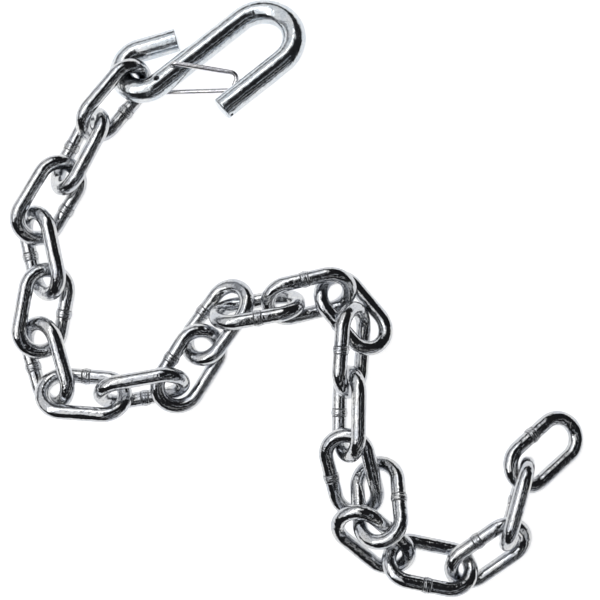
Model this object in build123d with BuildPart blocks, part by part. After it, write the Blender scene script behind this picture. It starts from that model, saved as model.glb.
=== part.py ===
"""Trailer safety chain: an S-hook bent from round bar, its spring wire latch and 22 welded links.

Millimetres, +Z up. The chain lies loose on the floor at z = 0, and the origin is under the middle of its box.
"""

from build123d import *
import os
from math import cos, radians, sin

import numpy as np

os.makedirs("parts", exist_ok=True)

# Chain links: a 1/4 in proof coil chain
wire = 7.0  # wire diameter
link_inside_length = 31.5  # the chain's pitch
link_inside_width = 12.8
weld_length = 3.2  # upset collar of the butt weld, halfway along one leg
weld_proud = 0.45
weld_flash = 0.8  # length of the collar's crest
weld_root = 0.1  # how far the collar's foot sinks into the wire

# Hook: an S bent from one bar, its eye holding link 1
hook_bar = 11.1  # bar diameter
throat = 20.0  # clear opening between the shank and the tip leg
eye_opening = 11.0  # clear diameter inside the eye
shank_length = 49.5
tip_leg_length = 36.0
free_leg_turn = 26.0  # angle at which the eye's free leg comes back to the shank, degrees
free_leg_gap = 2.3  # between the end of the free leg and the shank
tip_chamfer = 0.8
free_end_chamfer = 0.4
dimple_diameter = 1.8  # tooling mark near the tip
dimple_depth = 0.7
dimple_from_tip = 2.0

# Latch: spring wire, its two ends sprung into cross holes in the shank
latch_wire = 2.3
latch_hole_fit = 0.05  # radial clearance of a leg in its hole
latch_hole_spacing = 9.7
latch_hole_from_eye = 0.7  # from the start of the eye's bend to the nearer hole
latch_end_recess = 1.2  # how far a leg stops short of the far side of the bar
latch_rise = 0.95  # clear height of the legs over the bar
latch_rest_gap = 0.3  # between the loop's end and the tip leg
latch_leg_reach = 20.6  # along the hook, from the front hole to the loop's front corner
latch_loop_width = 7.0  # between the loop's two corners, along the hook
latch_bend = 1.7
latch_loop_bend = 2.8
latch_front_angle = 5.0  # where the loop's corners lie round the tip leg, degrees
latch_back_angle = -27.0

# How the pieces lie: heading, lean about the length and pitch, in degrees
hook_lies = (39.5, -22, -7)
hang_angle = 184.0  # where on the eye the chain hangs
piece_gap = 0.35  # least clear distance between any two pieces

# How finely the pieces are followed while they are laid out
hook_samples = 240
link_samples = 100
weld_margin = 0.5  # how far past its foot the collar still counts

# The links from the hook outwards. Heading is the way from the hook to the far end of the chain, and a
# positive lean lifts the left leg. Slack is the play behind the link's rear crown, side is its step to
# the left and lift is how far its neighbours hold it off the floor, in mm. The weld is on the left or
# the right leg.
#    heading lean pitch slack side lift weld
chain_lies = [
    (230, -54, 2, 0.4, 0, 0, "left"),
    (242, 55, 0, 3.5, 0, 0, "right"),
    (239, -30, 0, 4.5, -1.5, 2.5, "left"),
    (282, 47, 0, 4, 1, 0, "right"),
    (260, -24, 0, 4, 0, 2, "left"),
    (286, 38, 0, 6, 0.5, 0, "right"),
    (356, -34, 0, 2, -0.5, 2.5, "left"),
    (10, 60, 0, 4.5, 1, 0, "right"),
    (58, 20, 0, 3.5, -4.5, 3, "left"),
    (54, -35, 0, 7, 1.5, 0, "left"),
    (10, -66, 0, 10, -5, 1, "right"),
    (13, 37, 0, 6, 2.5, 1.5, "left"),
    (310, -28, 0, 5, 1.5, 0, "right"),
    (266, -58, 0, 8.5, -7.5, 0.5, "right"),
    (269, 65, 0, 2, 0, 0.5, "right"),
    (284, 14, -12, 2.5, -2, 0, "right"),
    (273, 20, 30, 14.5, 10.5, 0, "left"),
    (319, 30, -17, 9, -9.5, 0.5, "left"),
    (349, -30, 2, 1, 0.5, 1.5, "right"),
    (36, 30, 6, 0.5, 0.5, 0.5, "left"),
    (75, 84, 0, 2.5, 3, 0, "right"),
    (39, 10, -17, 2, 1.5, 0, "left"),
]

# Worked out from the sizes above
crown_radius = (link_inside_width + wire) / 2
half_leg = (link_inside_length + wire) / 2 - crown_radius
half_link = half_leg + crown_radius  # centre to the middle of the wire at a crown
bow_radius = (throat + hook_bar) / 2
eye_radius = (eye_opening + hook_bar) / 2
tip_y = -2 * bow_radius
turn = radians(free_leg_turn)
free_leg_drop = (eye_radius - hook_bar / 2) * (1 + cos(turn)) - free_leg_gap
free_leg_length = free_leg_drop / sin(turn)


# ---- Centrelines, each in its own flat plane ----

# Hook: x runs along the shank towards the bow, and y towards the eye's side
with BuildLine() as hook_line:
    eye_start = (-shank_length, 0)
    eye_bend = JernArc(eye_start, (-1, 0), eye_radius, -(180 + free_leg_turn))
    free_leg = Line(eye_bend @ 1, eye_bend @ 1 + (eye_bend % 1) * free_leg_length)
    shank = Line(eye_start, (0, 0))
    bow = JernArc((0, 0), (1, 0), bow_radius, -180)
    tip_leg = Line(bow @ 1, (-tip_leg_length, tip_y))

# Link: x runs along it, towards the far end of the chain
with BuildLine() as link_line:
    left_leg = Line((-half_leg, crown_radius), (half_leg, crown_radius))
    front_crown = JernArc(left_leg @ 1, (1, 0), crown_radius, -180)
    right_leg = Line(front_crown @ 1, (-half_leg, -crown_radius))
    rear_crown = JernArc(right_leg @ 1, (-1, 0), crown_radius, -180)


# ---- How the pieces lie on the floor ----


def lying_plane(heading, lean, pitch):
    """Plane of a piece: x along it and y across it to its left, both turned by the angles in degrees."""
    h, f, p = radians(heading), radians(lean), radians(pitch)
    along = Vector(cos(p) * cos(h), cos(p) * sin(h), sin(p))
    left = Vector(-sin(h), cos(h), 0)
    across = left * cos(f) + along.cross(left) * sin(f)
    return Plane(origin=(0, 0, 0), x_dir=along, z_dir=along.cross(across))


class Lying:
    """A piece of bent round bar on the floor, as points along its centreline, each with the bar's radius."""

    def __init__(self, angles, centreline, count, radius):
        self.plane = lying_plane(*angles)
        self.flat = np.array([tuple(centreline @ (i / count)) for i in range(count + 1)])
        self.radii = np.full(count + 1, radius)
        self.origin = np.zeros(3)
        self.fixed = False

    def points(self):
        """Centreline points in space."""
        axes = np.array([tuple(self.plane.x_dir), tuple(self.plane.y_dir), tuple(self.plane.z_dir)])
        return self.flat @ axes + self.origin

    def at(self, x, y):
        """Point in space for a place in the piece's own plane."""
        return self.origin + x * np.array(tuple(self.plane.x_dir)) + y * np.array(tuple(self.plane.y_dir))

    def drop(self):
        """How far the piece can come down before it meets the floor."""
        return (self.points()[:, 2] - self.radii).min()

    def placed(self):
        """The piece's plane, where it lies."""
        return Plane(origin=tuple(self.origin), x_dir=self.plane.x_dir, z_dir=self.plane.z_dir)


def add_weld(piece, side):
    """Thicken a link's centreline where the weld is, on the leg that the side names."""
    across = piece.flat[:, 1] if side == "left" else -piece.flat[:, 1]
    on_leg = (abs(piece.flat[:, 0]) < weld_length / 2 + weld_margin) & (across > 0)
    piece.radii[on_leg] += weld_proud


def level(vector):
    """The horizontal direction of a vector."""
    flat = np.array([vector[0], vector[1], 0])
    return flat / np.linalg.norm(flat)


def lay_chain(hook):
    """Lay the links one after another, each with its rear crown hanging in the piece before it."""
    links = []
    held_at = hook.at(
        -shank_length + eye_radius * cos(radians(hang_angle)),
        eye_radius + eye_radius * sin(radians(hang_angle)),
    )
    held_reach = (hook_bar + wire) / 2
    direction = np.zeros(3)
    for heading, lean, pitch, slack, side, lift, weld in chain_lies:
        link = Lying((heading, lean, pitch), link_line.wire(), link_samples, wire / 2)
        add_weld(link, weld)
        own_direction = np.array(tuple(link.plane.x_dir))
        back = level(direction + own_direction)
        left = np.array([-back[1], back[0], 0])
        rear = held_at - back * (held_reach + slack) + left * side
        link.origin = rear + own_direction * half_link
        link.origin[2] += lift - link.drop()
        links.append(link)
        held_at = link.at(half_link, 0)
        held_reach = wire
        direction = own_direction
    return links


def closest(a, b):
    """Clear distance between two sets of points with radii, and the direction from b to a where nearest."""
    offsets = a[0][:, None] - b[0][None]
    distances = np.linalg.norm(offsets, axis=2)
    clear = distances - a[1][:, None] - b[1][None]
    nearest = np.unravel_index(clear.argmin(), clear.shape)
    return clear[nearest], offsets[nearest] / distances[nearest]


def neighbours(pieces):
    """Index pairs of the pieces that lie near enough to touch."""
    middles = [piece.points().mean(0) for piece in pieces]
    spans = [
        np.linalg.norm(piece.points() - middle, axis=1).max() + hook_bar / 2
        for piece, middle in zip(pieces, middles)
    ]
    near = []
    for j in range(len(pieces)):
        for i in range(j):
            if np.linalg.norm(middles[i] - middles[j]) < spans[i] + spans[j]:
                near.append((i, j))
    return near


def settle(pieces, rounds=600, tolerance=0.01, ease=0.6):
    """Ease pieces that press into each other apart, a little in each round, until all of them are clear."""
    pairs = neighbours(pieces)
    for _ in range(rounds):
        places = [(piece.points(), piece.radii) for piece in pieces]
        moves = [np.zeros(3) for _ in pieces]
        worst = 0
        for i, j in pairs:
            clear, direction = closest(places[i], places[j])
            if clear < piece_gap:
                worst = max(worst, piece_gap - clear)
                step = direction * (piece_gap - clear) * ease
                free = (not pieces[i].fixed) + (not pieces[j].fixed)
                moves[i] += step / free
                moves[j] -= step / free
        for piece, move in zip(pieces, moves):
            if not piece.fixed:
                piece.origin = piece.origin + move
                piece.origin[2] -= min(piece.drop(), 0)
        if worst < tolerance:
            break


def centre_box(pieces):
    """Move the pieces together so that the middle of their box is over the origin."""
    low = np.min([(p.points() - p.radii[:, None]).min(0) for p in pieces], axis=0)
    high = np.max([(p.points() + p.radii[:, None]).max(0) for p in pieces], axis=0)
    for piece in pieces:
        piece.origin[:2] -= (low + high)[:2] / 2


lying_hook = Lying(hook_lies, hook_line.wire(), hook_samples, hook_bar / 2)
lying_hook.origin[2] -= lying_hook.drop()
lying_hook.fixed = True
lying_links = lay_chain(lying_hook)
settle([lying_hook] + lying_links)
centre_box([lying_hook] + lying_links)


# ---- Hook ----

hook_plane = lying_hook.placed()
hook_path = hook_line.wire().moved(hook_plane.location)
tip_end = (-tip_leg_length, tip_y)


def on_hook(x, y, z=0):
    """Point in space for a place in the hook's own frame."""
    return hook_plane.from_local_coords((x, y, z))


latch_back_x = -shank_length + latch_hole_from_eye
latch_front_x = latch_back_x + latch_hole_spacing

with BuildPart() as hook:
    with BuildSketch(Plane(origin=hook_path @ 0, z_dir=hook_path % 0)):
        Circle(hook_bar / 2)
    sweep(path=hook_path)
    ends = hook.faces().filter_by(GeomType.PLANE)
    tip_face = ends.sort_by_distance(on_hook(*tip_end))[0]
    free_face = ends.sort_by_distance(on_hook(*tip_end))[-1]
    chamfer(tip_face.edges(), tip_chamfer)
    chamfer(free_face.edges(), free_end_chamfer)
    # Cross holes for the latch's two legs, square to the hook's plane
    hole_radius = latch_wire / 2 + latch_hole_fit
    for hole_x in (latch_front_x, latch_back_x):
        with Locations(hook_plane.location * Location((hole_x, 0, 0))):
            Hole(hole_radius, depth=hook_bar)
    # Tooling mark on the outer side of the tip leg: a cone, as wide as its diameter at the bar's surface
    mark = Plane(
        origin=on_hook(-tip_leg_length + dimple_from_tip, tip_y - hook_bar / 2),
        z_dir=-hook_plane.y_dir,
    )
    with BuildSketch(mark.offset(-dimple_depth)):
        Circle(dimple_diameter / 4)
    with BuildSketch(mark.offset(dimple_depth)):
        Circle(dimple_diameter * 3 / 4)
    loft(mode=Mode.SUBTRACT)
hook.part.label = "hook"
export_step(hook.part, "parts/hook.step")


# ---- Latch ----


def by_tip_leg(x, reach, angle):
    """Point beside the tip leg, at a distance from its axis and an angle round it."""
    return (x, tip_y + reach * cos(radians(angle)), reach * sin(radians(angle)))


leg_height = hook_bar / 2 + latch_wire / 2 + latch_rise
leg_depth = hook_bar / 2 - latch_end_recess
latch_seat = hook_bar / 2 + latch_wire / 2 + latch_rest_gap
loop_front_x = latch_front_x + latch_leg_reach

with BuildPart() as latch:
    with BuildLine(hook_plane) as latch_line:
        FilletPolyline(
            (latch_front_x, 0, -leg_depth),
            (latch_front_x, 0, leg_height),
            by_tip_leg(loop_front_x, latch_seat + latch_bend, latch_front_angle),
            by_tip_leg(loop_front_x - latch_loop_width, latch_seat, latch_back_angle),
            (latch_back_x, 0, -leg_height),
            (latch_back_x, 0, leg_depth),
            radius=[latch_bend, latch_loop_bend, latch_loop_bend, latch_bend],
        )
    latch_path = latch_line.wire()
    with BuildSketch(Plane(origin=latch_path @ 0, z_dir=latch_path % 0)):
        Circle(latch_wire / 2)
    sweep(path=latch_path)
latch.part.label = "latch"
export_step(latch.part, "parts/latch.step")


# ---- Links ----


def make_link(number, lying, weld):
    """One welded link: round wire bent to an oval, with the raised collar of its butt weld on one leg."""
    plane = lying.placed()
    path = link_line.wire().moved(plane.location)
    leg_y = crown_radius if weld == "left" else -crown_radius
    weld_leg = Plane(origin=plane.from_local_coords((0, leg_y, 0)), x_dir=plane.x_dir, z_dir=plane.z_dir)
    crest = wire / 2 + weld_proud
    with BuildPart() as link:
        with BuildSketch(Plane(origin=path @ 0, z_dir=path % 0)):
            Circle(wire / 2)
        sweep(path=path)
        with BuildSketch(weld_leg):
            with BuildLine():
                Polyline(
                    (-weld_length / 2, 0),
                    (-weld_length / 2, wire / 2 - weld_root),
                    (-weld_flash / 2, crest),
                    (weld_flash / 2, crest),
                    (weld_length / 2, wire / 2 - weld_root),
                    (weld_length / 2, 0),
                    close=True,
                )
            make_face()
        revolve(axis=Axis(weld_leg.origin, weld_leg.x_dir))
    link.part.label = f"link_{number:02d}"
    export_step(link.part, f"parts/link_{number:02d}.step")


for number, (lying, lies) in enumerate(zip(lying_links, chain_lies), 1):
    make_link(number, lying, weld=lies[-1])
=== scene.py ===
import math

import bmesh
import bpy
import numpy as np
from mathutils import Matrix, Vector, noise


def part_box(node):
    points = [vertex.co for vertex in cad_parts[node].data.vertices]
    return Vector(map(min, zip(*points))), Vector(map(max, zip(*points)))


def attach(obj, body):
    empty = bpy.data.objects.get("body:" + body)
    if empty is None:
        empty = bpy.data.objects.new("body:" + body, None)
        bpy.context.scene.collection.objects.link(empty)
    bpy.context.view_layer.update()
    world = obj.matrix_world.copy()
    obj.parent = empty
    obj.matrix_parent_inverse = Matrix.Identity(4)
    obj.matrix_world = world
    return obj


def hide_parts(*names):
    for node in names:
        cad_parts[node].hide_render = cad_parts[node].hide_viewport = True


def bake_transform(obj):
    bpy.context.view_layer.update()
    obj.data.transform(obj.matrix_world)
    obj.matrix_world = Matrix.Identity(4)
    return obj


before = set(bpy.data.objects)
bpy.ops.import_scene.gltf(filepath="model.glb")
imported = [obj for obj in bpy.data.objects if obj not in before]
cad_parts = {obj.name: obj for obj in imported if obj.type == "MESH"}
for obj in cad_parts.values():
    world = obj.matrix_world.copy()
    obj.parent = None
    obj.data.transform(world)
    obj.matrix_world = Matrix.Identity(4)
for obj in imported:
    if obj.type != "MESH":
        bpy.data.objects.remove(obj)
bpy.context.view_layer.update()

MM = 0.001

# Sizes of the object, in mm
WIRE = 7.0
HALF_LEG = 9.35
CROWN = 9.9
BAR = 11.1
BOW = 15.55
EYE = 11.05
SHANK = 49.5
TIP_LEG = 36.0
FREE_LEG = 18.58
EYE_TURN = 206.0
LATCH_WIRE = 2.3
HOLES = (-39.1, -48.8)
HOLE_RADIUS = 1.2
HOOK_LIES = (39.5, -22.0, -7.0)  # heading, lean and pitch, in degrees

# Details that only the visual model has, in mm
LINK_UNEVENNESS, LINK_WAVES = 0.035, 0.22
HOOK_UNEVENNESS, HOOK_WAVES = 0.05, 0.12
FOOT_HEIGHT, CREST_HEIGHT, GROOVE_DEPTH = 0.27, 0.17, 0.14
WELD_REACH = 2.4
TIP_CHAMFER, FREE_CHAMFER, LATCH_CHAMFER = 0.8, 0.4, 0.2
LEG_END = 3.2
MARK_DEPTH = 0.03
# How far each ring of a cap steps in and out, as shares of its chamfer
CAP_RINGS = ((0.35, 0.25), (1.0, 1.0))

# Faces around a piece
AROUND_LINK, AROUND_HOOK, AROUND_LATCH = 48, 80, 32


# ---- Mesh helpers ----


def tube(name, points, sides, radius_at, around, closed=False, caps=None):
    """Tube mesh along points, in mm. sides are unit vectors square to the path.

    radius_at(distance, angle) gives the radius, and caps are (chamfer at start, chamfer at end).
    The UV map 'wire' is in mm, along the path and around it."""
    count = len(points)
    steps = np.linalg.norm(np.roll(points, -1, 0) - points, axis=1)
    along = np.concatenate([[0], np.cumsum(steps)])
    if closed:
        tangents = np.roll(points, -1, 0) - np.roll(points, 1, 0)
    else:
        tangents = np.gradient(points, axis=0)
    tangents /= np.linalg.norm(tangents, axis=1)[:, None]
    other = np.cross(tangents, sides)
    angles = np.arange(around) / around * 2 * math.pi
    bm = bmesh.new()
    uv = bm.loops.layers.uv.new("wire")
    rings = []
    for i in range(count):
        ring = []
        for angle in angles:
            r = radius_at(along[i], angle)
            p = points[i] + r * (math.cos(angle) * sides[i] + math.sin(angle) * other[i])
            ring.append(bm.verts.new(p * MM))
        rings.append(ring)
    circumference = 2 * math.pi * radius_at(0, 0)
    spans = range(count if closed else count - 1)
    for i in spans:
        a, b = rings[i], rings[(i + 1) % count]
        for k in range(around):
            face = bm.faces.new((a[k], a[(k + 1) % around], b[(k + 1) % around], b[k]))
            corners = ((i, k), (i, k + 1), (i + 1, k + 1), (i + 1, k))
            for loop, (row, column) in zip(face.loops, corners):
                loop[uv].uv = (along[row], column / around * circumference)
            face.smooth = True
    if not closed:
        for end, inward in ((0, 1), (count - 1, -1)):
            chamfer = caps[0] if end == 0 else caps[1]
            middle = Vector(points[end] * MM)
            out = Vector(-tangents[end] * inward)
            previous = rings[end]
            for share, push in CAP_RINGS:
                ring = []
                for v in rings[end]:
                    arm = v.co - middle
                    arm = arm * (1 - chamfer * MM * share / arm.length)
                    ring.append(bm.verts.new(middle + arm + out * chamfer * MM * push))
                for k in range(around):
                    quad = (previous[k], previous[(k + 1) % around], ring[(k + 1) % around], ring[k])
                    face = bm.faces.new(quad)
                    face.smooth = True
                    for loop in face.loops:
                        loop[uv].uv = (along[end], 0)
                previous = ring
            bm.faces.new(previous)
    bmesh.ops.recalc_face_normals(bm, faces=bm.faces)
    mesh = bpy.data.meshes.new(name)
    bm.to_mesh(mesh)
    bm.free()
    piece = bpy.data.objects.new(name, mesh)
    bpy.context.scene.collection.objects.link(piece)
    return piece


def run(start, end, step):
    """Evenly spaced points from start up to but not including end."""
    start, end = np.array(start, float), np.array(end, float)
    count = max(2, int(np.linalg.norm(end - start) / step))
    return start + np.arange(count)[:, None] / count * (end - start)


def arc(centre, radius, first, last, step):
    """Points along a flat arc, angles in degrees, up to but not including the last angle."""
    a0, a1 = math.radians(first), math.radians(last)
    count = max(4, int(abs(a1 - a0) * radius / step))
    a = a0 + np.arange(count) / count * (a1 - a0)
    return np.stack([centre[0] + radius * np.cos(a), centre[1] + radius * np.sin(a)], 1)


def smooth_step(x, low, high):
    t = min(max((x - low) / (high - low), 0), 1)
    return t * t * (3 - 2 * t)


def wobble(seed, distance, angle, scale):
    """Slow change in a bar's radius, from -1 to 1, that closes round the bar."""
    y, z = 1.4 * math.cos(angle) + seed * 7.3, 1.4 * math.sin(angle) + seed
    return noise.noise(Vector((distance * scale, y, z)))


def weld_skin(distance, angle, seed):
    """Height of the butt weld's collar over the wire, in mm, at a distance from the weld's middle.

    It is a low foot with a narrow crest and small nicks, and a groove on each side of it."""
    ragged = noise.noise(Vector((2.2 * math.cos(angle) + seed * 3.1, 2.2 * math.sin(angle), seed * 1.7)))
    d = distance + 0.16 * ragged
    foot = 1 - smooth_step(abs(d), 1.38, 1.6)
    crest = 1 - smooth_step(abs(d - 0.2), 0.4, 0.6)
    nick = 0.08 * noise.noise(Vector((distance * 1.6 + seed, 4 * math.cos(angle), 4 * math.sin(angle))))
    groove = smooth_step(abs(d), 1.5, 1.7) * (1 - smooth_step(abs(d), 1.8, 2.1))
    return foot * (FOOT_HEIGHT + CREST_HEIGHT * crest + nick) - GROOVE_DEPTH * groove


# ---- Node materials ----


def nodes_of(material):
    material.use_nodes = True
    tree = material.node_tree
    return tree.nodes, tree.links, tree.nodes["Principled BSDF"]


def ramp(nodes, stops):
    node = nodes.new("ShaderNodeValToRGB")
    elements = node.color_ramp.elements
    while len(elements) < len(stops):
        elements.new(0.5)
    for element, (place, colour) in zip(elements, stops):
        element.position = place
        element.color = (*colour, 1)
    return node


def zinc(name, cool, warm, rough, streaks, relief):
    """Bright zinc plate: a tint that drifts, draw lines along the wire, orange peel and tiny dull specks.

    rough is the range of the roughness, streaks the draw lines per mm around, and relief scales
    how deep the unevenness of the surface is."""
    material = bpy.data.materials.new(name)
    nodes, links, shader = nodes_of(material)
    shader.inputs["Metallic"].default_value = 1.0
    place = nodes.new("ShaderNodeTexCoord")
    wire_map = nodes.new("ShaderNodeUVMap")
    wire_map.uv_map = "wire"

    def cloud(scale, detail, source=None, squash=None):
        texture = nodes.new("ShaderNodeTexNoise")
        texture.inputs["Scale"].default_value = scale
        texture.inputs["Detail"].default_value = detail
        if source is None:
            links.new(place.outputs["Object"], texture.inputs["Vector"])
        else:
            mapping = nodes.new("ShaderNodeMapping")
            mapping.inputs["Scale"].default_value = squash
            links.new(source, mapping.inputs["Vector"])
            links.new(mapping.outputs["Vector"], texture.inputs["Vector"])
        return texture.outputs["Fac"]

    drift = cloud(140, 3)
    specks = cloud(2300, 2)
    ripple = cloud(1350, 2)
    peel = cloud(430, 2)
    lines = cloud(1.0, 4, wire_map.outputs["UV"], (0.07, streaks, 1))
    # The 'weld' vertex attribute holds heat tint on the link welds, and painted shade in the weld grooves,
    # the latch holes and the die mark
    weld = nodes.new("ShaderNodeAttribute")
    weld.attribute_name = "weld"

    tint = ramp(nodes, [(0.3, cool), (0.55, tuple((a + b) / 2 for a, b in zip(cool, warm))), (0.75, warm)])
    links.new(drift, tint.inputs["Fac"])
    darkened = ramp(nodes, [(0.3, (0.3, 0.3, 0.32)), (0.42, (1, 1, 1))])
    links.new(specks, darkened.inputs["Fac"])
    mixed = nodes.new("ShaderNodeMix")
    mixed.data_type = "RGBA"
    mixed.blend_type = "MULTIPLY"
    mixed.inputs["Factor"].default_value = 1.0
    links.new(tint.outputs["Color"], mixed.inputs["A"])
    links.new(darkened.outputs["Color"], mixed.inputs["B"])
    # Darkens the colour by the 'weld' attribute: real heat tint, and painted shade in recesses
    burnt_and_shaded = nodes.new("ShaderNodeMix")
    burnt_and_shaded.data_type = "RGBA"
    burnt_and_shaded.blend_type = "MULTIPLY"
    burnt_and_shaded.inputs["B"].default_value = (0.3, 0.3, 0.31, 1)
    links.new(weld.outputs["Fac"], burnt_and_shaded.inputs["Factor"])
    links.new(mixed.outputs["Result"], burnt_and_shaded.inputs["A"])
    links.new(burnt_and_shaded.outputs["Result"], shader.inputs["Base Color"])

    spread = nodes.new("ShaderNodeMapRange")
    spread.inputs["From Min"].default_value = 0.3
    spread.inputs["From Max"].default_value = 0.7
    spread.inputs["To Min"].default_value = rough[0]
    spread.inputs["To Max"].default_value = rough[1]
    links.new(peel, spread.inputs["Value"])
    rougher = nodes.new("ShaderNodeMath")
    rougher.operation = "MULTIPLY_ADD"
    rougher.inputs[1].default_value = 0.3
    links.new(weld.outputs["Fac"], rougher.inputs[0])
    links.new(spread.outputs["Result"], rougher.inputs[2])
    links.new(rougher.outputs["Value"], shader.inputs["Roughness"])

    height = None
    for source, strength, depth in ((peel, 0.8, 0.00022), (ripple, 0.7, 0.00004), (lines, 0.7, 0.0001)):
        bump = nodes.new("ShaderNodeBump")
        bump.inputs["Strength"].default_value = strength
        bump.inputs["Distance"].default_value = depth * relief
        links.new(source, bump.inputs["Height"])
        if height is not None:
            links.new(height, bump.inputs["Normal"])
        height = bump.outputs["Normal"]
    links.new(height, shader.inputs["Normal"])
    return material


link_zinc = zinc("link_zinc", (0.50, 0.52, 0.56), (0.63, 0.63, 0.62), (0.04, 0.13), 0.9, 1.0)
hook_zinc = zinc("hook_zinc", (0.56, 0.61, 0.66), (0.71, 0.72, 0.73), (0.10, 0.22), 0.8, 0.8)
spring_steel = zinc("spring_steel", (0.60, 0.60, 0.66), (0.74, 0.73, 0.71), (0.14, 0.26), 4.0, 0.5)


# ---- Links ----


def surface_of(node):
    """Triangles and vertices of a CAD node, in mm."""
    mesh = node.data
    mesh.calc_loop_triangles()
    corners = np.empty(len(mesh.loop_triangles) * 3, int)
    mesh.loop_triangles.foreach_get("vertices", corners)
    places = np.array([node.matrix_world @ v.co for v in mesh.vertices]) / MM
    return places[corners].reshape(-1, 3, 3), places


def link_frame(node):
    """Centre of a link, and its directions: along, across towards the weld's leg, and normal.

    They come from the second moments of its surface. The weld's leg reaches farther from the centre."""
    triangles, places = surface_of(node)
    a, b, c = triangles[:, 0], triangles[:, 1], triangles[:, 2]
    areas = np.linalg.norm(np.cross(b - a, c - a), axis=1) / 2
    middles = (a + b + c) / 3
    centre = (middles * areas[:, None]).sum(0) / areas.sum()
    moment = np.zeros((3, 3))
    for corner in (a, b, c):
        offset = corner - centre
        moment += (offset * areas[:, None]).T @ offset
    offset = middles - centre
    moment += 9 * (offset * areas[:, None]).T @ offset
    along, across = np.linalg.eigh(moment)[1][:, [2, 1]].T
    normal = np.cross(along, across)
    reach = (places - centre) @ across
    if reach.max() < -reach.min():
        across, normal = -across, -normal
        reach = -reach
    length = (places - centre) @ along
    thick = (places - centre) @ normal
    centre = centre + along * (length.max() + length.min()) / 2
    centre = centre + across * (reach.min() + CROWN + WIRE / 2)
    centre = centre + normal * (thick.max() + thick.min()) / 2
    return centre, along, across, normal


def link_outline(step=0.5, fine=0.09, weld_end=2.3):
    """Centreline of a link in its own plane. It starts halfway along the leg that holds the weld."""
    flat = [run((0, CROWN), (weld_end, CROWN), fine), run((weld_end, CROWN), (HALF_LEG, CROWN), step)]
    flat.append(arc((HALF_LEG, 0), CROWN, 90, -90, step))
    flat.append(run((HALF_LEG, -CROWN), (-HALF_LEG, -CROWN), step))
    flat.append(arc((-HALF_LEG, 0), CROWN, -90, -270, step))
    flat.append(run((-HALF_LEG, CROWN), (-weld_end, CROWN), step))
    flat.append(run((-weld_end, CROWN), (0, CROWN), fine))
    return np.concatenate(flat)


OUTLINE = link_outline()
LOOP_LENGTH = 4 * HALF_LEG + 2 * math.pi * CROWN


def from_weld(distance):
    return distance if distance < LOOP_LENGTH / 2 else distance - LOOP_LENGTH


def weld_tint_and_shade(distance):
    """How much the colour darkens near the weld: real heat tint on the collar, and painted shade in the
    grooves beside the collar.
    """
    collar = 1 - smooth_step(abs(distance), 1.4, 1.7)
    groove = smooth_step(abs(distance), 1.45, 1.65) * (1 - smooth_step(abs(distance), 1.9, 2.2))
    return 0.2 * collar + 0.9 * groove


def mark_darkening(piece, values):
    """Vertex attribute that says where the colour is darker and rougher: weld heat tint, and painted shade in
    recesses.
    """
    piece.data.attributes.new("weld", "FLOAT", "POINT").data.foreach_set("value", values)


outline_steps = np.linalg.norm(np.roll(OUTLINE, -1, 0) - OUTLINE, axis=1)
outline_reach = np.concatenate([[0], np.cumsum(outline_steps)])[:-1]
# Per vertex of a link: heat tint on the weld collar, and painted shade in the weld grooves
LINK_TINT_AND_SHADE = np.repeat([weld_tint_and_shade(from_weld(d)) for d in outline_reach], AROUND_LINK)

for number in range(1, 23):
    node_name = f"link_{number:02d}"
    centre, along, across, normal = link_frame(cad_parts[node_name])
    points = centre + OUTLINE[:, :1] * along + OUTLINE[:, 1:] * across
    sides = np.tile(normal, (len(points), 1))

    def skin(distance, angle, seed=number):
        d = from_weld(distance)
        radius = WIRE / 2 + LINK_UNEVENNESS * wobble(seed, distance, angle, LINK_WAVES)
        return radius + (weld_skin(d, angle, seed) if abs(d) < WELD_REACH else 0)

    piece = tube(node_name + "_wire", points, sides, skin, AROUND_LINK, closed=True)
    mark_darkening(piece, LINK_TINT_AND_SHADE)
    piece.data.materials.append(link_zinc)
    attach(piece, node_name)
    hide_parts(node_name)


# ---- Hook ----


def lying_axes(heading, lean, pitch):
    """Directions along, across and normal of a flat piece that lies at these angles, in degrees."""
    h, f, p = (math.radians(v) for v in (heading, lean, pitch))
    along = np.array([math.cos(p) * math.cos(h), math.cos(p) * math.sin(h), math.sin(p)])
    left = np.array([-math.sin(h), math.cos(h), 0])
    across = math.cos(f) * left + math.sin(f) * np.cross(along, left)
    return along, across, np.cross(along, across)


def hook_outline(step=0.5):
    """Centreline of the hook in its own plane, from the free leg's end to the tip."""
    centre = (-SHANK, EYE)
    last = math.radians(270 - EYE_TURN)
    leave = np.array([centre[0] + EYE * math.cos(last), centre[1] + EYE * math.sin(last)])
    heading = np.array([math.sin(last), -math.cos(last)])
    flat = [run(leave + heading * FREE_LEG, leave, step)]
    flat.append(arc(centre, EYE, 270 - EYE_TURN, 270, step))
    flat.append(run((-SHANK, 0), (0, 0), step))
    flat.append(arc((0, -BOW), BOW, 90, -90, step))
    flat.append(run((0, -2 * BOW), (-TIP_LEG, -2 * BOW), step))
    flat.append([[-TIP_LEG, -2 * BOW]])
    return np.concatenate(flat)


e, s, n = lying_axes(*HOOK_LIES)
flat = hook_outline()
steps = np.linalg.norm(np.diff(flat, axis=0), axis=1)
distances = np.concatenate([[0], np.cumsum(steps)])
keep = (distances > FREE_CHAMFER) & (distances < distances[-1] - TIP_CHAMFER)
first = flat[0] + (flat[1] - flat[0]) / steps[0] * FREE_CHAMFER
last = flat[-1] - (flat[-1] - flat[-2]) / steps[-1] * TIP_CHAMFER
flat = np.concatenate([[first], flat[keep], [last]])
points = flat[:, :1] * e + flat[:, 1:] * s
sides = np.tile(n, (len(points), 1))


def hook_skin(distance, angle):
    return BAR / 2 + HOOK_UNEVENNESS * wobble(41, distance, angle, HOOK_WAVES)


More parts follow.
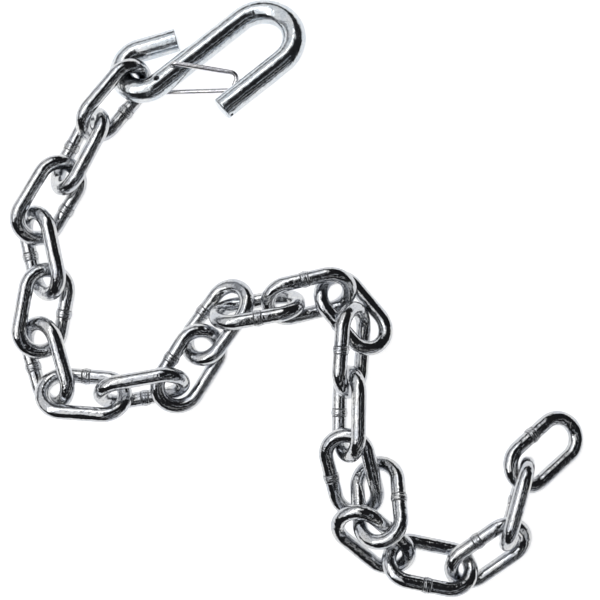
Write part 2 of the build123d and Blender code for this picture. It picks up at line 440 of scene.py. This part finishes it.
hook = tube("hook_bar", points, sides, hook_skin, AROUND_HOOK, caps=(FREE_CHAMFER, TIP_CHAMFER))
places = np.array([v.co for v in hook.data.vertices]) / MM
low, high = (np.array(corner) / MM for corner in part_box("hook"))
origin = (low + high) / 2 - (places.min(0) + places.max(0)) / 2
for vertex in hook.data.vertices:
    vertex.co = vertex.co + Vector(origin * MM)


def on_hook(x, y, z=0.0):
    """A place in the hook's own plane, and above it, in the frame's mm."""
    return origin + x * e + y * s + z * n


def cut(piece, name, path, radii, around=32):
    """Cut a round hole or hollow along a path, with a radius at each point."""
    path = np.array(path)
    direction = path[-1] - path[0]
    direction /= np.linalg.norm(direction)
    side = np.cross(direction, [0.3, 0.5, 0.81])
    side /= np.linalg.norm(side)
    other = np.cross(direction, side)
    bm = bmesh.new()
    rings = []
    for p, r in zip(path, radii):
        turns = (2 * math.pi * k / around for k in range(around))
        rings.append([bm.verts.new((p + r * (math.cos(t) * side + math.sin(t) * other)) * MM) for t in turns])
    for a, b in zip(rings, rings[1:]):
        for k in range(around):
            bm.faces.new((a[k], a[(k + 1) % around], b[(k + 1) % around], b[k]))
    bm.faces.new(rings[0])
    bm.faces.new(rings[-1])
    bmesh.ops.recalc_face_normals(bm, faces=bm.faces)
    mesh = bpy.data.meshes.new(name)
    bm.to_mesh(mesh)
    bm.free()
    cutter = bpy.data.objects.new(name, mesh)
    bpy.context.scene.collection.objects.link(cutter)
    modifier = piece.modifiers.new(name, "BOOLEAN")
    modifier.operation = "DIFFERENCE"
    modifier.solver = "EXACT"
    modifier.object = cutter
    bpy.context.view_layer.update()
    evaluated = piece.evaluated_get(bpy.context.evaluated_depsgraph_get())
    result = bpy.data.meshes.new_from_object(evaluated)
    piece.modifiers.clear()
    piece.data = result
    bpy.data.objects.remove(cutter)


# The latch's holes are a little wider at the bar's surface
levels = (-8, -5.75, -5.35, 5.35, 5.75, 8)
widths = (1.75, 1.5, HOLE_RADIUS, HOLE_RADIUS, 1.5, 1.75)
for number, x in enumerate(HOLES):
    cut(hook, f"latch_hole_{number}", [on_hook(x, 0, level) for level in levels], widths)

# A round tooling mark near the tip
outer = -2 * BOW - BAR / 2
mark = [on_hook(-TIP_LEG + 2.0, outer + depth) for depth in (0.7, -0.1, -0.9)]
cut(hook, "tooling_mark", mark, (0.4, 0.95, 1.3), 24)

# A short die mark across the start of the bow, just under the surface
turn = math.radians(26.8)
scratch = []
for tilt in (-58, -38, -18):
    out = BOW + (BAR / 2 - MARK_DEPTH) * math.sin(math.radians(tilt))
    lift = (BAR / 2 - MARK_DEPTH) * math.cos(math.radians(tilt))
    scratch.append(on_hook(out * math.sin(turn), -BOW + out * math.cos(turn), lift))
cut(hook, "die_mark", scratch, (0.2, 0.5, 0.2), 16)
hook.data.materials.clear()
hook.data.materials.append(hook_zinc)

# Painted shade: the colour is darker and rougher in the holes and in the die mark
darkened = []
for vertex in hook.data.vertices:
    offset = np.array(vertex.co) / MM - origin
    from_hole = min(math.hypot(offset @ e - x, offset @ s) for x in HOLES)
    from_bow = math.hypot(math.hypot(offset @ e, offset @ s + BOW) - BOW, offset @ n)
    in_mark = np.linalg.norm(np.array(vertex.co) / MM - scratch[1]) < 2.2 and from_bow < BAR / 2 - 0.12
    darkened.append(1.0 if from_hole < HOLE_RADIUS + 0.1 or in_mark else 0.0)
mark_darkening(hook, darkened)
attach(hook, "hook")
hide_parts("hook")


# ---- Latch ----


def rounded(corners, radii, step=0.22):
    """Path through corners with each inner corner rounded to a radius."""
    path = [np.array(corners[0], float)]
    for before, corner, after, radius in zip(corners, corners[1:], corners[2:], radii):
        before, corner, after = (np.array(v, float) for v in (before, corner, after))
        u = (before - corner) / np.linalg.norm(before - corner)
        v = (after - corner) / np.linalg.norm(after - corner)
        half = math.acos(np.clip(u @ v, -1, 1)) / 2
        reach = radius / math.tan(half)
        middle = corner + (u + v) / np.linalg.norm(u + v) * radius / math.sin(half)
        start, end = corner + u * reach - middle, corner + v * reach - middle
        turn = math.pi - 2 * half
        path.extend(run(path[-1], middle + start, step)[1:])
        count = max(6, int(turn * radius / step))
        for k in range(count + 1):
            t = k / count
            swept = math.sin((1 - t) * turn) * start + math.sin(t * turn) * end
            path.append(middle + swept / math.sin(turn))
    path.extend(run(path[-1], np.array(corners[-1], float), step)[1:])
    path.append(np.array(corners[-1], float))
    return np.array(path)


def by_tip_leg(x, reach, angle):
    """A place at a reach from the tip leg's middle line, at an angle round it from the shank's side."""
    a = math.radians(angle)
    return on_hook(x, -2 * BOW + reach * math.cos(a), reach * math.sin(a))


front, back = HOLES
bend = 7.65  # how far from the shank's middle each leg turns out of its hole
latch_path = rounded(
    [
        on_hook(front, 0, -LEG_END),
        on_hook(front, 0, bend),
        by_tip_leg(front + 20.6, 8.7, 5),
        by_tip_leg(front + 13.6, 7.0, -27),
        on_hook(back, 0, -bend),
        on_hook(back, 0, LEG_END),
    ],
    (1.7, 2.8, 2.8, 1.7),
)
tangents = np.gradient(latch_path, axis=0)
tangents /= np.linalg.norm(tangents, axis=1)[:, None]
side = np.cross(tangents[0], e)
sides = []
for tangent in tangents:
    side = side - tangent * (side @ tangent)
    side /= np.linalg.norm(side)
    sides.append(side)
latch = tube(
    "latch_spring_wire", latch_path, np.array(sides), lambda distance, angle: LATCH_WIRE / 2, AROUND_LATCH,
    caps=(LATCH_CHAMFER, LATCH_CHAMFER),
)
mark_darkening(latch, [0.0] * len(latch.data.vertices))
latch.data.materials.append(spring_steel)
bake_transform(latch)
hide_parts("latch")


# ---- Floor, light and camera ----

bm = bmesh.new()
bmesh.ops.create_grid(bm, x_segments=2, y_segments=2, size=2.5)
floor_mesh = bpy.data.meshes.new("floor")
bm.to_mesh(floor_mesh)
bm.free()
floor = bpy.data.objects.new("floor", floor_mesh)
bpy.context.scene.collection.objects.link(floor)
floor.location.z = -0.0003  # just clear of the lowest links
paper = bpy.data.materials.new("floor_paper")
shader = nodes_of(paper)[-1]
shader.inputs["Base Color"].default_value = (0.6, 0.6, 0.6, 1)
shader.inputs["Roughness"].default_value = 0.9
shader.inputs["Specular IOR Level"].default_value = 0.0
shader.inputs["Emission Color"].default_value = (1, 1, 1, 1)
shader.inputs["Emission Strength"].default_value = 0.88
floor_mesh.materials.append(paper)

target = Vector((0, 0, 0.01))


def softbox(name, azimuth, elevation, distance, width, height, power, colour=(1, 1, 1)):
    """Area light that faces the object from an azimuth, counted from +X towards +Y, and an elevation."""
    data = bpy.data.lights.new(name, "AREA")
    data.shape = "RECTANGLE"
    data.size, data.size_y = width, height
    data.energy = power
    data.color = colour
    lamp = bpy.data.objects.new(name, data)
    a, b = math.radians(azimuth), math.radians(elevation)
    facing = Vector((math.cos(a) * math.cos(b), math.sin(a) * math.cos(b), math.sin(b)))
    lamp.location = target + distance * facing
    lamp.rotation_euler = (target - lamp.location).to_track_quat("-Z", "Y").to_euler()
    bpy.context.scene.collection.objects.link(lamp)


softbox("key", 145, 46, 1.3, 3.0, 1.2, 10.0)
softbox("core", 150, 55, 1.2, 2.4, 0.24, 4.0)
softbox("top_panel", 185, 71, 1.4, 0.95, 0.7, 2.3)
softbox("low_panel", 150, 16, 1.6, 2.4, 0.5, 1.5, (0.94, 0.96, 1.0))
softbox("strip_high", -42, 66, 1.3, 1.6, 0.07, 0.30, (0.92, 0.95, 1.0))
softbox("strip_low", -55, 43, 1.3, 1.8, 0.06, 0.28)
softbox("side_fill", -50, 17, 1.6, 1.6, 0.3, 0.9, (0.94, 0.96, 1.0))

world = bpy.data.worlds.new("studio")
world.use_nodes = True
world.node_tree.nodes["Background"].inputs["Color"].default_value = (0.9, 0.92, 1.0, 1)
world.node_tree.nodes["Background"].inputs["Strength"].default_value = 0.02
bpy.context.scene.world = world
bpy.context.scene.view_settings.view_transform = "Standard"

# The camera looks straight down. half_view is how much floor it sees from the middle to an edge, in m
height, half_view, sensor = 0.650, 0.14205, 36
camera_data = bpy.data.cameras.new("camera")
camera_data.sensor_width = sensor
camera_data.lens = sensor / 2 * height / half_view
camera = bpy.data.objects.new("camera", camera_data)
camera.location = (0.0004, -0.0014, height)
bpy.context.scene.collection.objects.link(camera)
bpy.context.scene.camera = camera

bpy.context.view_layer.update()
